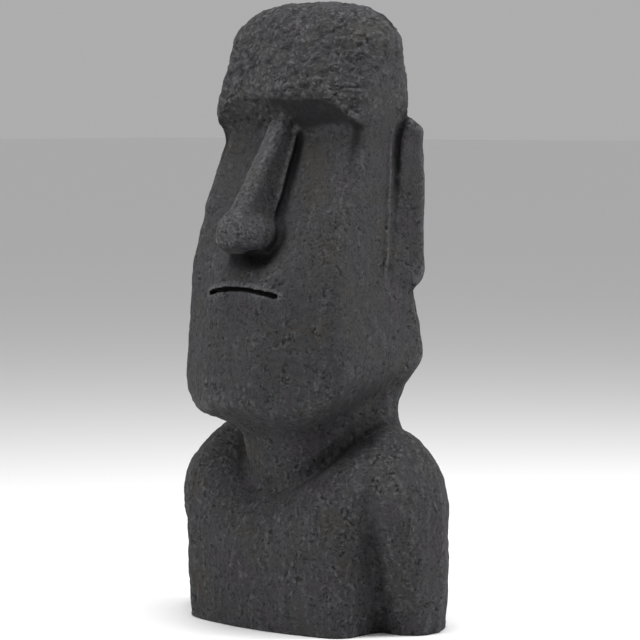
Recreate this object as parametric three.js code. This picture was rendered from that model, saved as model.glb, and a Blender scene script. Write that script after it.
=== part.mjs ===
import * as THREE from 'three';

// Garden statue of a moai: a tall stone head on a bust that is cut off flat at the arms.
// It is cast as one solid piece and stands on the flat underside of the bust.
// Millimetres, +Z up, face towards -Y, origin under the middle of the base.

// Overall size
const HEIGHT = 780;

// The carving is given as shares of the height: x to the side, y to the back, z up.
// A list of stations pairs a height with the value that the form has there.

// Head block
const HEAD_HALF_WIDTH = [
  [0.36, 0.162], [0.43, 0.170], [0.55, 0.160], [0.68, 0.158],
  [0.77, 0.154], [0.83, 0.166], [0.93, 0.157], [1.00, 0.152],
];
const HEAD_BACK = [[0.34, 0.106], [0.44, 0.118], [0.60, 0.112], [0.85, 0.110], [1.00, 0.106]];
const HEAD_BACK_ROUNDING = [[0.42, 0.030], [0.56, 0.050], [0.80, 0.075]];
const HEAD_FRONT_ROUNDING = 0.030;
const CROWN = { height: 1.0105, fallToSides: 0.42, fallToBack: 0.20, rounding: 0.072 };

// Forehead, and the arch that is cut in under the brow
const BROW = { front: -0.081, curve: 1.72, lean: 0.30, height: 0.845, bottom: 0.755 };
const FOREHEAD_SWEEP = { height: 0.88, curve: 1.2 };
const SOCKET = { flatHalf: 0.070, halfWidth: 0.160, springing: 0.737, rise: 0.117, roofSlope: 1.55, edge: 0.010 };

// Face planes: the slanting cheeks, their set-back corners and the upright front of the chin
const CHEEK = { front: -0.026, height: 0.80, slope: 0.43, top: 0.90 };
const CHEEK_CORNER = [[0.36, -0.112], [0.56, -0.108], [0.66, -0.090], [0.80, -0.048]];
const CHEEK_CORNER_HALF = 0.150;
const CHEEK_CORNER_SLOPE = [[0.42, 0.55], [0.56, 0.42]];
const CHIN = { front: -0.1535, height: 0.54, slope: 0.155, halfWidth: 0.047, sideSlope: 0.60, edge: 0.010 };
const UPPER_LIP = { front: -0.1545, height: 0.550, slope: 0.95, edge: 0.012 };

// Mouth
const SLIT = { height: 0.5425, halfWidth: 0.071, drop: 0.0105, dropHalf: 0.074, thickness: 0.0020, depth: 0.011 };
const LIPS = {
  upper: 0.0012, lower: 0.0010, hollow: 0.0004, roll: 0.008, offset: 0.009, hollowOffset: 0.030,
  reach: 0.029, fading: 0.035,
};

// Underside of the jaw, as three planes: front, side and back
const JAW_FRONT = { y: -0.178, z: 0.3520, out: 0.42, down: 0.907 };
const JAW_SIDE = { x: 0.161, z: 0.3964, rise: 0.19, dip: 0.010, out: 0.72, down: 0.694 };
const JAW_BACK = { y: 0.114, z: 0.380, out: 0.87, down: 0.50 };
const JAW_ROUNDING = 0.022;
const JAW_CORNER = { front: 0.055, back: 0.025 };

// Nose
const NOSE = {
  rootFront: -0.060, rootHeight: 0.812, slope: 0.68, rootHalf: 0.018, endHalf: 0.017,
  flare: 0.17, tip: -0.178, underside: 0.607, deep: 0.0, rounding: 0.014,
};
const NOSE_BULB = { centre: [0, -0.150, 0.630], radii: [0.0325, 0.036, 0.034] };
const NOSE_WING = { centre: [0.024, -0.122, 0.626], radii: [0.022, 0.033, 0.024] };
const NOSTRIL = { centre: [0.020, -0.133, 0.598], radii: [0.011, 0.017, 0.011] };
const FOLD = { x: 0.0245, spread: 0.004, forward: 0.012, radius: 0.0050, top: 0.812, bottom: 0.645 };

// Ear: a long plate that flares to the back, a rim in front of it and the channel between them
const EAR = {
  front: 0.047, back: 0.104, top: 0.822, bottom: 0.520, step: 0.0005, flare: 0.35,
  topSlope: 0.40, topRounding: 0.024, bottomRounding: 0.055, creaseLean: 0.10, leanHeight: 0.67,
};
const EAR_RIM = { y: 0.028, radius: 0.0046, top: 0.80, bottom: 0.54 };
const EAR_CHANNEL = { y: 0.042, radius: 0.009, set: 0.006, top: 0.80, bottom: 0.545 };

// Neck: a flat front between slanting flanks
const NECK = {
  front: -0.066, height: 0.215, lean: 0.32, flatHalf: 0.046, flankSlope: 1.03,
  halfWidth: 0.122, spread: 0.22, back: 0.103, top: 0.48,
};

// Bust: a bowed chest between set-back arms, sloping shoulders and a collar hollow before the neck
const CHEST = {
  front: -0.1265, bow: 0.55, halfWidth: 0.178, widening: 0.022, wideningOver: [0.10, 0.25],
  setBack: 0.012, setBackOver: [0.12, 0.27], corner: 0.030,
};
const ARM = {
  front: -0.014, comesForward: 0.055, forwardOver: [0.0, 0.27], halfWidth: 0.250,
  taper: 0.45, taperFrom: 0.055, frontTaper: 0.15, frontTaperFrom: 0.02, corner: 0.045,
};
const SHOULDER = { x: 0.130, z: 0.343, top: 0.338, fall: 0.577, tilt: 0.22, rounding: 0.095 };
const BUST_BACK = { y: 0.130, lean: 0.22, leanFrom: 0.20, corner: 0.055 };
const COLLAR = {
  z: 0.2105, y: -0.069, flatHalf: 0.046, rise: 0.64, forwardFall: 0.45, backRise: 1.24,
  backFrom: -0.005, easing: 0.030, rounding: 0.050,
};
const FOOT = { height: 0.09, inset: 0.006 };

// Mesh: columns go round the statue. Rows go up it: level on the base and the head, and fanned
// from a point on the spine over the shoulders and over the crown.
const COLUMNS = 76;
const BASE_ROWS = 3;
const SHOULDER_ROWS = 14;
const NECK_ROWS = 6;
const HEAD_ROWS = 33;
const CROWN_ROWS = 9;
const FAN_HEIGHT = 0.05;
const JAW_HEIGHT = 0.345;
const CROWN_START = 0.90;
const SPINE_Y = 0.03;

// Where rows and columns stand closer together: centre, width, and how much denser
const ROW_CROWDING = [
  [0.5425, 0.007, 7.0], [0.605, 0.010, 4.0], [0.56, 0.05, 1.2], [0.375, 0.035, 1.6], [0.82, 0.045, 1.6],
];
const COLUMN_CROWDING = [[0, 26, 2.2], [72, 12, 1.2], [96, 6, 2.6], [113, 7, 1.6]];

// Finish: dark charcoal casting
const STONE = { colour: 0x46464a, roughness: 0.92, metalness: 0.0 };

// Smallest of two values, with the step between them rounded over k
function blendMin(a, b, k) {
  const h = Math.max(k - Math.abs(a - b), 0) / k;
  return Math.min(a, b) - (h * h * k) / 4;
}

// Largest of two values, rounded in the same way
function blendMax(a, b, k) {
  return -blendMin(-a, -b, k);
}

// 0 below lo, 1 above hi and a smooth rise between
function ramp(value, lo, hi) {
  const t = Math.min(Math.max((value - lo) / (hi - lo), 0), 1);
  return t * t * (3 - 2 * t);
}

// 0 well below 0, the value itself well above 0, eased over a width between them
function easedOver(value, width) {
  return (Math.hypot(value, width) + value) / 2;
}

function bell(value, width) {
  return Math.exp(-((value / width) ** 2));
}

// Smooth value at height z through a list of stations
function along(z, stations) {
  let value = stations[0][1];
  for (let i = 1; i < stations.length; i += 1) {
    const [z0, v0] = stations[i - 1];
    const [z1, v1] = stations[i];
    value += (v1 - v0) * ramp(z, z0, z1);
  }
  return value;
}

// Distance to a surface y = f whose slope is g
function sloped(distance, ...g) {
  return distance / Math.hypot(1, ...g);
}

function ellipsoid(x, y, z, { centre, radii }) {
  const p = [x - centre[0], y - centre[1], z - centre[2]];
  const q = Math.hypot(...p.map((v, i) => v / radii[i]));
  const n = Math.hypot(...p.map((v, i) => v / radii[i] ** 2));
  return (q * (q - 1)) / Math.max(n, 1e-6);
}

// Each function below gives the distance to one form: below 0 inside it, above 0 outside.
// The statue is the same on both sides, so x is always the distance from its middle.

function browFront(x, z) {
  const sweep = FOREHEAD_SWEEP.curve * Math.max(z - FOREHEAD_SWEEP.height, 0) ** 2;
  return BROW.front + BROW.curve * x * x + BROW.lean * (z - BROW.height) + sweep;
}

function forehead(x, y, z) {
  const front = sloped(browFront(x, z) - y, BROW.lean, 2 * BROW.curve * x);
  const block = blendMax(front, BROW.bottom - z, 0.02);
  const height = z + SOCKET.roofSlope * (y - browFront(x, BROW.height));
  const u = Math.max(x - SOCKET.flatHalf, 0) / (SOCKET.halfWidth - SOCKET.flatHalf);
  const v = Math.max(height - SOCKET.springing, 0) / SOCKET.rise;
  const arch = sloped((Math.hypot(u, v) - 1) * SOCKET.rise, SOCKET.roofSlope);
  return blendMax(block, -arch, SOCKET.edge);
}

function chinFront(z) {
  return CHIN.front - CHIN.slope * (CHIN.height - z);
}

function cheeks(x, y, z) {
  const cheek = sloped(CHEEK.front - CHEEK.slope * (CHEEK.height - z) - y, CHEEK.slope);
  const cornerSlope = along(z, CHEEK_CORNER_SLOPE);
  const corner = along(z, CHEEK_CORNER) - cornerSlope * (CHEEK_CORNER_HALF - x);
  let d = blendMax(cheek, sloped(corner - y, cornerSlope), 0.03);
  d = blendMax(d, sloped(chinFront(z) - y, CHIN.slope), CHIN.edge);
  return blendMax(d, z - CHEEK.top, 0.02);
}

function muzzle(x, y, z) {
  const front = sloped(chinFront(z) - y, CHIN.slope);
  const flank = sloped(chinFront(z) + CHIN.sideSlope * (x - CHIN.halfWidth) - y, CHIN.sideSlope, CHIN.slope);
  const lip = sloped(UPPER_LIP.front + UPPER_LIP.slope * (z - UPPER_LIP.height) - y, UPPER_LIP.slope);
  return blendMax(blendMax(front, flank, CHIN.edge), lip, UPPER_LIP.edge);
}

function slitHeight(x) {
  return SLIT.height - SLIT.drop * (x / SLIT.dropHalf) ** 2;
}

function mouthSlit(x, z) {
  return Math.hypot(z - slitHeight(x), Math.max(x - SLIT.halfWidth, 0)) - SLIT.thickness;
}

// Swelling of the skin by the lips, and the hollow under them
function lipRelief(x, y, z) {
  const above = z - slitHeight(x);
  const near = ramp(SLIT.halfWidth + LIPS.reach - x, 0, LIPS.fading) * ramp(-y, 0.07, 0.10);
  const upper = LIPS.upper * bell(above - LIPS.offset, LIPS.roll);
  const lower = LIPS.lower * bell(above + LIPS.offset, LIPS.roll);
  const hollow = LIPS.hollow * bell(above + LIPS.hollowOffset, 1.5 * LIPS.roll);
  return near * (hollow - upper - lower);
}

function jaw(x, y, z) {
  const edge = JAW_SIDE.z + JAW_SIDE.rise * y - JAW_SIDE.dip * ramp(y, 0, 0.09);
  const front = -JAW_FRONT.out * (y - JAW_FRONT.y) - JAW_FRONT.down * (z - JAW_FRONT.z);
  const side = JAW_SIDE.out * (x - JAW_SIDE.x) - JAW_SIDE.down * (z - edge);
  const back = JAW_BACK.out * (y - JAW_BACK.y) - JAW_BACK.down * (z - JAW_BACK.z);
  return blendMax(blendMax(front, side, JAW_CORNER.front), back, JAW_CORNER.back);
}

function nose(x, y, z) {
  const below = NOSE.rootHeight - z;
  const ridge = NOSE.rootFront - NOSE.slope * below;
  const half = NOSE.rootHalf + (NOSE.endHalf - NOSE.rootHalf) * ramp(below, 0, 0.15);
  const side = (x - half - NOSE.flare * (y - ridge)) / Math.hypot(1, NOSE.flare * 1.2);
  let d = blendMax(sloped(ridge - y, NOSE.slope), side, NOSE.rounding);
  d = blendMax(d, NOSE.tip - y, 0.02);
  d = blendMax(d, NOSE.underside - z, 0.02);
  d = Math.max(d, y - NOSE.deep);
  d = blendMin(d, ellipsoid(x, y, z, NOSE_BULB), 0.018);
  d = blendMin(d, ellipsoid(x, y, z, NOSE_WING), 0.022);
  return blendMax(d, -ellipsoid(x, y, z, NOSTRIL), 0.006);
}

// Fold that runs down the side of the nose from the inner corner of the socket
function noseFold(x, y, z) {
  const middle = FOLD.x + FOLD.spread * Math.min(Math.max((CHEEK.height - z) / 0.13, 0), 1);
  const skin = CHEEK.front - CHEEK.slope * (CHEEK.height - z) - FOLD.forward;
  const radius = FOLD.radius * ramp(z, FOLD.bottom, 0.70) * ramp(FOLD.top - z, 0, 0.02) + 0.0001;
  const d = Math.hypot(x - middle, sloped(y - skin, CHEEK.slope)) - radius;
  return blendMax(d, FOLD.bottom - z, 0.01);
}

function earLean(z) {
  return EAR.creaseLean * (z - EAR.leanHeight);
}

function ear(x, y, z) {
  const wall = along(z, HEAD_HALF_WIDTH);
  const lean = earLean(z);
  const step = EAR.step + 0.004 * ramp(z, 0.60, 0.76);
  let d = sloped(x - wall - step - EAR.flare * (y - EAR.front - 0.003), EAR.flare);
  d = blendMax(d, EAR.front + lean - y, 0.006);
  d = blendMax(d, y - EAR.back, 0.018);
  d = blendMax(d, sloped(z - EAR.top + EAR.topSlope * (y - 0.06), EAR.topSlope), EAR.topRounding);
  d = blendMax(d, EAR.bottom - z, EAR.bottomRounding);
  d = blendMax(d, 0.10 - x, 0.01);
  const rimRadius = EAR_RIM.radius * ramp(z, EAR_RIM.bottom, 0.60) * ramp(EAR_RIM.top - z, 0, 0.05);
  const rim = Math.hypot(x - wall + 0.001, y - EAR_RIM.y - lean) - rimRadius;
  return blendMin(d, Math.max(rim, EAR_RIM.bottom - z), 0.003);
}

function earChannel(x, y, z) {
  const wall = along(z, HEAD_HALF_WIDTH);
  const d = Math.hypot(x - wall - EAR_CHANNEL.set, y - EAR_CHANNEL.y - earLean(z)) - EAR_CHANNEL.radius;
  return blendMax(d, blendMax(EAR_CHANNEL.bottom - z, z - EAR_CHANNEL.top, 0.02), 0.01);
}

function head(x, y, z) {
  let d = blendMin(forehead(x, y, z), cheeks(x, y, z), 0.012);
  d = blendMin(d, muzzle(x, y, z), 0.014) + lipRelief(x, y, z);
  d = blendMax(d, x - along(z, HEAD_HALF_WIDTH), HEAD_FRONT_ROUNDING);
  d = blendMax(d, y - along(z, HEAD_BACK), along(z, HEAD_BACK_ROUNDING));
  d = blendMax(d, z - CROWN.height + CROWN.fallToSides * x * x + CROWN.fallToBack * y, CROWN.rounding);
  d = blendMax(d, jaw(x, y, z), JAW_ROUNDING);
  d = blendMin(d, noseFold(x, y, z), 0.006);
  d = blendMin(d, nose(x, y, z), 0.007);
  d = blendMax(d, -earChannel(x, y, z), 0.006);
  d = blendMin(d, ear(x, y, z), 0.004);
  const slit = Math.max(mouthSlit(x, z), -(d + SLIT.depth), y + 0.06);
  return blendMax(d, -slit, 0.003);
}

function neck(x, y, z) {
  const lean = NECK.front - NECK.lean * (z - NECK.height);
  const front = sloped(lean - y, NECK.lean);
  const flank = sloped(lean + NECK.flankSlope * (x - NECK.flatHalf) - y, NECK.lean, NECK.flankSlope);
  let d = blendMax(front, flank, 0.020);
  d = blendMax(d, sloped(x - NECK.halfWidth - NECK.spread * y, NECK.spread), 0.045);
  d = blendMax(d, y - NECK.back, 0.055);
  return blendMax(d, z - NECK.top, 0.02);
}

function bust(x, y, z) {
  const foot = FOOT.inset * (1 - ramp(z, 0, FOOT.height));
  const back = sloped(y - BUST_BACK.y + BUST_BACK.lean * Math.max(z - BUST_BACK.leanFrom, 0), BUST_BACK.lean);
  const bow = Math.hypot(x, y - CHEST.front - CHEST.bow) - CHEST.bow;
  const front = bow + CHEST.setBack * ramp(z, ...CHEST.setBackOver) + 0.5 * foot;
  const side = x - CHEST.halfWidth - CHEST.widening * ramp(z, ...CHEST.wideningOver) + foot;
  let chest = blendMax(front, side, CHEST.corner);
  chest = blendMax(chest, back, BUST_BACK.corner);
  const armFront = ARM.front - ARM.comesForward * ramp(z, ...ARM.forwardOver) - y;
  const narrowing = ARM.taper * Math.max(y - ARM.taperFrom, 0)
    + ARM.frontTaper * Math.max(ARM.frontTaperFrom - y, 0);
  let arm = blendMax(armFront + foot, (x - ARM.halfWidth + narrowing) / 1.05 + foot, ARM.corner);
  arm = blendMax(arm, back, BUST_BACK.corner);
  const fall = SHOULDER.fall * (x - SHOULDER.x) - SHOULDER.tilt * Math.min(y, 0.05);
  const top = blendMax(sloped(z - SHOULDER.z + fall, SHOULDER.fall), z - SHOULDER.top, 0.03);
  const d = blendMax(blendMin(chest, arm, 0.012), top, SHOULDER.rounding);
  const risen = COLLAR.rise * easedOver(x - COLLAR.flatHalf, COLLAR.easing)
    + COLLAR.backRise * easedOver(y - COLLAR.backFrom, COLLAR.easing);
  const above = z - COLLAR.z - COLLAR.forwardFall * (y - COLLAR.y) - risen;
  return blendMax(d, sloped(above, COLLAR.rise, COLLAR.forwardFall), COLLAR.rounding);
}

function statue(x, y, z) {
  const side = Math.abs(x);
  const d = blendMin(head(side, y, z), neck(side, y, z), 0.016);
  return blendMin(d, bust(side, y, z), 0.018);
}

// Point where a ray from inside the form first comes out through its skin
function skinPoint(form, start, direction) {
  const at = (r) => start.map((v, i) => v + r * direction[i]);
  let inside = 0;
  let outside = 0;
  for (let d = form(...start); d < 0; d = form(...at(outside))) {
    inside = outside;
    outside += Math.max(-0.5 * d, 0.001);
  }
  for (let i = 0; i < 24; i += 1) {
    const middle = (outside + inside) / 2;
    if (form(...at(middle)) < 0) inside = middle;
    else outside = middle;
  }
  return at(outside);
}

// Ray direction at an angle round the statue, tilted up from level
function heading(angle, tilt) {
  return [Math.cos(tilt) * Math.sin(angle), -Math.cos(tilt) * Math.cos(angle), Math.sin(tilt)];
}

// Positions from lo to hi that stand closer together where a list of crowding says
function spread(lo, hi, count, crowding) {
  const samples = 2000;
  const total = [0];
  for (let i = 0; i < samples; i += 1) {
    const t = lo + ((hi - lo) * (i + 0.5)) / samples;
    total.push(total[i] + crowding.reduce((sum, [at, width, extra]) => sum + extra * bell(t - at, width), 1));
  }
  const positions = [];
  let i = 0;
  for (let k = 0; k <= count; k += 1) {
    const wanted = (total[samples] * k) / count;
    while (i < samples && total[i + 1] < wanted) i += 1;
    const part = i < samples ? (wanted - total[i]) / (total[i + 1] - total[i]) : 0;
    positions.push(lo + ((hi - lo) * Math.min(i + part, samples)) / samples);
  }
  return positions;
}

// Angles of the columns all the way round, the same on both sides of the face
function columnAngles() {
  const half = spread(0, 180, COLUMNS / 2, COLUMN_CROWDING);
  const other = half.slice(1, -1).reverse().map((angle) => 360 - angle);
  return [...half, ...other].map((angle) => (angle * Math.PI) / 180);
}

// Rows sink towards the corners of the mouth, so that one of them follows the slit
function rowHeight(z, angle) {
  const x = Math.abs(Math.tan(angle)) * (SPINE_Y - CHIN.front);
  const facing = Math.cos(angle) > 0 ? Math.min(x / SLIT.dropHalf, 1.2) : 1.2;
  return z - SLIT.drop * facing ** 2 * bell(z - SLIT.height, 0.035) * ramp(Math.cos(angle), 0.3, 0.8);
}

// How far the neck stands from the spine, and how high the shoulders meet it
function collarAt(angle) {
  const right = Math.min(angle, 2 * Math.PI - angle);
  const [x, y] = skinPoint(neck, [0, SPINE_Y, COLLAR.z], heading(right, 0));
  const [, , height] = skinPoint(bust, [x, y, FAN_HEIGHT], [0, 0, 1]);
  return { radius: Math.hypot(x, y - SPINE_Y), height: Math.min(height, JAW_HEIGHT - 0.01) };
}

function skinRings(angles) {
  const collars = angles.map(collarAt);
  const ring = (height, tilt) =>
    angles.map((angle, i) => skinPoint(statue, [0, SPINE_Y, height(i)], heading(angle, tilt(i))));
  const fanTilt = (i) => Math.atan2(collars[i].height - FAN_HEIGHT, collars[i].radius);
  const rings = [];
  for (let k = 0; k < BASE_ROWS; k += 1) {
    rings.push(ring(() => (FAN_HEIGHT * k) / BASE_ROWS, () => 0));
  }
  for (let k = 0; k < SHOULDER_ROWS; k += 1) {
    rings.push(ring(() => FAN_HEIGHT, (i) => (fanTilt(i) * k) / SHOULDER_ROWS));
  }
  for (let k = 0; k < NECK_ROWS; k += 1) {
    const share = k / NECK_ROWS;
    const start = FAN_HEIGHT + (JAW_HEIGHT - FAN_HEIGHT) * share;
    const target = (i) => collars[i].height + (JAW_HEIGHT - collars[i].height) * share;
    rings.push(ring(() => start, (i) => Math.atan2(target(i) - start, collars[i].radius)));
  }
  for (const z of spread(JAW_HEIGHT, CROWN_START, HEAD_ROWS, ROW_CROWDING)) {
    rings.push(ring((i) => rowHeight(z, angles[i]), () => 0));
  }
  for (let k = 1; k < CROWN_ROWS; k += 1) {
    rings.push(ring(() => CROWN_START, () => (Math.PI / 2) * (k / CROWN_ROWS)));
  }
  return rings;
}

// Closed skin: quads between the rings, split along their shorter diagonal, and a fan at each end
function statueGeometry() {
  const angles = columnAngles();
  const rings = skinRings(angles);
  const count = angles.length;
  const points = rings.flat();
  const triangles = [];
  const gap = (a, b) => Math.hypot(...points[a].map((v, i) => v - points[b][i]));
  for (let row = 0; row + 1 < rings.length; row += 1) {
    for (let column = 0; column < count; column += 1) {
      const next = (column + 1) % count;
      const [a, b] = [row * count + column, row * count + next];
      const [c, d] = [b + count, a + count];
      if (gap(a, c) <= gap(b, d)) triangles.push(a, b, c, a, c, d);
      else triangles.push(a, b, d, b, c, d);
    }
  }
  const base = points.push([0, SPINE_Y, 0]) - 1;
  const crown = points.push(skinPoint(statue, [0, SPINE_Y, CROWN_START], [0, 0, 1])) - 1;
  const last = (rings.length - 1) * count;
  for (let column = 0; column < count; column += 1) {
    const next = (column + 1) % count;
    triangles.push(base, next, column, crown, last + column, last + next);
  }
  const geometry = new THREE.BufferGeometry();
  geometry.setAttribute('position', new THREE.Float32BufferAttribute(points.flat().map((v) => v * HEIGHT), 3));
  geometry.setIndex(triangles);
  geometry.computeBoundingBox();
  const middle = geometry.boundingBox.getCenter(new THREE.Vector3());
  geometry.translate(-middle.x, -middle.y, 0);
  geometry.computeVertexNormals();
  return geometry;
}

const stone = new THREE.MeshStandardMaterial({
  color: STONE.colour,
  roughness: STONE.roughness,
  metalness: STONE.metalness,
});

const statueMesh = new THREE.Mesh(statueGeometry(), stone);
statueMesh.name = 'moai_statue';

const moai = new THREE.Group();
moai.add(statueMesh);

export default moai;
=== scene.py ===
"""Dresses the moai garden statue: a long stone head on a short bust, cast as one piece.

The statue is carved here as a signed distance form, in shares of its height, and skinned with a fine
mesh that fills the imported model's box. Geometry Nodes then trowel that skin, and a charcoal casting
finish colours it. Lengths in the sizes below are shares of the height unless a name ends in _mm.
"""

import logging
import math
from dataclasses import dataclass, field
from enum import Enum

import bpy
import numpy as np
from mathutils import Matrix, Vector


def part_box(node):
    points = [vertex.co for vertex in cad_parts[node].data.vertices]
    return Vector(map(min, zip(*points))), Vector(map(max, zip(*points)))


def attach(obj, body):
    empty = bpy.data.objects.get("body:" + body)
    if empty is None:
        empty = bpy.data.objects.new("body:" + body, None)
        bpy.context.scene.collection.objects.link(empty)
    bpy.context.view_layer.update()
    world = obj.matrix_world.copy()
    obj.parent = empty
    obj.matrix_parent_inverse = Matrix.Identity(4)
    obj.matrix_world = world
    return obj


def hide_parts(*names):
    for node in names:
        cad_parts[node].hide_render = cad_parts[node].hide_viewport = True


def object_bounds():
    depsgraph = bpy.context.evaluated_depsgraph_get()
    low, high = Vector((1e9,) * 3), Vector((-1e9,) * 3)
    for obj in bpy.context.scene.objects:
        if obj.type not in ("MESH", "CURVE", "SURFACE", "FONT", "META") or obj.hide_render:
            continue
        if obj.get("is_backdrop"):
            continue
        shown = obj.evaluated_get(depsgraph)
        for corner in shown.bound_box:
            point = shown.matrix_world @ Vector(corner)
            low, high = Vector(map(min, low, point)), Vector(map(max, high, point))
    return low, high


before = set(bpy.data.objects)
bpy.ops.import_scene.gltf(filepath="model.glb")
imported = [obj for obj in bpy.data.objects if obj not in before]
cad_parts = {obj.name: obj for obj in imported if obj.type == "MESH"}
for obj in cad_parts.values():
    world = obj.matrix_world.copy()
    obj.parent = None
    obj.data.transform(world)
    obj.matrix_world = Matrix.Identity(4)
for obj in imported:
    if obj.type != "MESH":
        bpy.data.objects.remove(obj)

log = logging.getLogger("moai")
Stations = tuple[tuple[float, float], ...]
Array = np.ndarray
Span = tuple[float, float]
Stretch = tuple[float, float, float]
Socket = bpy.types.NodeSocket

NODE = "moai_statue"
BODY = "root"
MM = 0.001
LEAST_SLOPE = 1e-6
LEAST_LENGTH = 1e-9
NOISE_MIDDLE = 0.5


class Axis(Enum):
    """The three axes of the carving grid."""

    SIDE = 0
    DEPTH = 1
    HEIGHT = 2


# Rules of the carving

def blend_min(a: Array, b: Array, k: float) -> Array:
    """Takes the smaller of two values and rounds the step between them.

    Args:
        a: First value.
        b: Second value.
        k: Width over which the step is rounded.

    Returns:
        The rounded smaller value.
    """
    h = np.maximum(k - np.abs(a - b), 0) / k
    return np.minimum(a, b) - h * h * k / 4


def blend_max(a: Array, b: Array, k: float | Array) -> Array:
    """Returns the larger of two values, rounded over k."""
    return -blend_min(-a, -b, k)


def ramp(value: Array, low: float, high: float) -> Array:
    """Returns 0 below low, 1 above high and a smooth rise between them."""
    t = np.clip((value - low) / (high - low), 0, 1)
    return t * t * (3 - 2 * t)


def eased_over(value: Array, width: float) -> Array:
    """Returns 0 well below 0, the value itself well above 0, eased over a width between them."""
    return (np.hypot(value, width) + value) / 2


def bell(value: Array, width: float) -> Array:
    """Returns 1 where the value is 0, falling to almost nothing at twice the width."""
    return np.exp(-((value / width) ** 2))


def along(z: Array, stations: Stations) -> Array:
    """Reads a smooth value from a list of heights.

    Args:
        z: Heights to read at.
        stations: Pairs of height and value, lowest first.

    Returns:
        The value at each height.
    """
    value = np.full_like(z, stations[0][1])
    for (z0, v0), (z1, v1) in zip(stations, stations[1:]):
        value += (v1 - v0) * ramp(z, z0, z1)
    return value


def sloped(distance: Array, *slopes: float | Array) -> Array:
    """Turns a height above a sloping surface into the distance from it."""
    return distance / np.sqrt(1 + sum(slope * slope for slope in slopes))


@dataclass(frozen=True)
class Egg:
    """An ellipsoid, given by its centre and its three radii."""

    centre: tuple[float, float, float]
    radii: tuple[float, float, float]

    def distance(self, x: Array, y: Array, z: Array) -> Array:
        """Returns the rough distance from the ellipsoid, below 0 inside it."""
        offsets = [v - c for v, c in zip((x, y, z), self.centre)]
        near = np.sqrt(sum((v / r) ** 2 for v, r in zip(offsets, self.radii)))
        slope = np.sqrt(sum((v / r**2) ** 2 for v, r in zip(offsets, self.radii)))
        return near * (near - 1) / np.maximum(slope, LEAST_SLOPE)


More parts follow.
